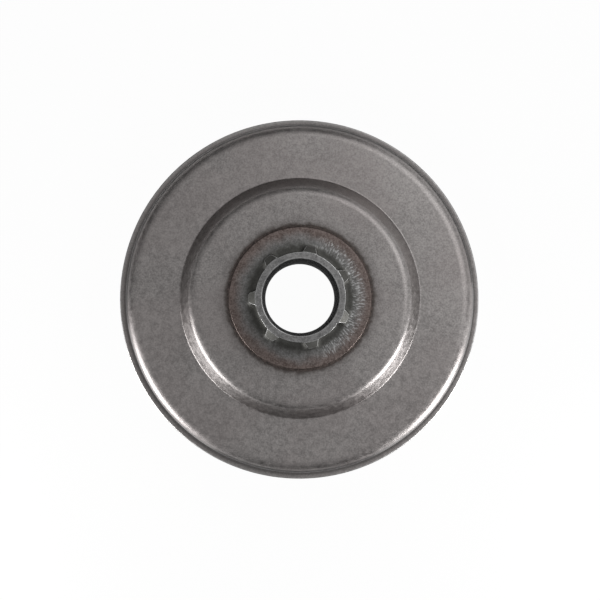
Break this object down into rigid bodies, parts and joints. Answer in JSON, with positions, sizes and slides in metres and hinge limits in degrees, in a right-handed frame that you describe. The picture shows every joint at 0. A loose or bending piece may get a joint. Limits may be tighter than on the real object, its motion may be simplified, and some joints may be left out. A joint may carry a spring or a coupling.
{
  "type": "rim sprocket clutch drum",
  "caption": "Pressed steel clutch drum with a brazed, splined hub that carries a rim sprocket and runs on a needle cage.",
  "frame": {"origin": "middle of the open end of the drum, in the plane that it stands on", "axes": "+Z along the shaft's axis, from the open end to the spline's front face"},
  "size_m": [0.0872, 0.0872, 0.038],
  "materials": {
    "pressed_steel": "satin, grey phosphated, faintly mottled",
    "machined_steel": "satin, heat tinted reddish brown on the flange",
    "braze_metal": "dull, oxidised dark brown"
  },
  "bodies": {
    "root": {"drum": "pressed_steel", "hub": "machined_steel", "braze": "braze_metal"}
  },
  "joints": []
}
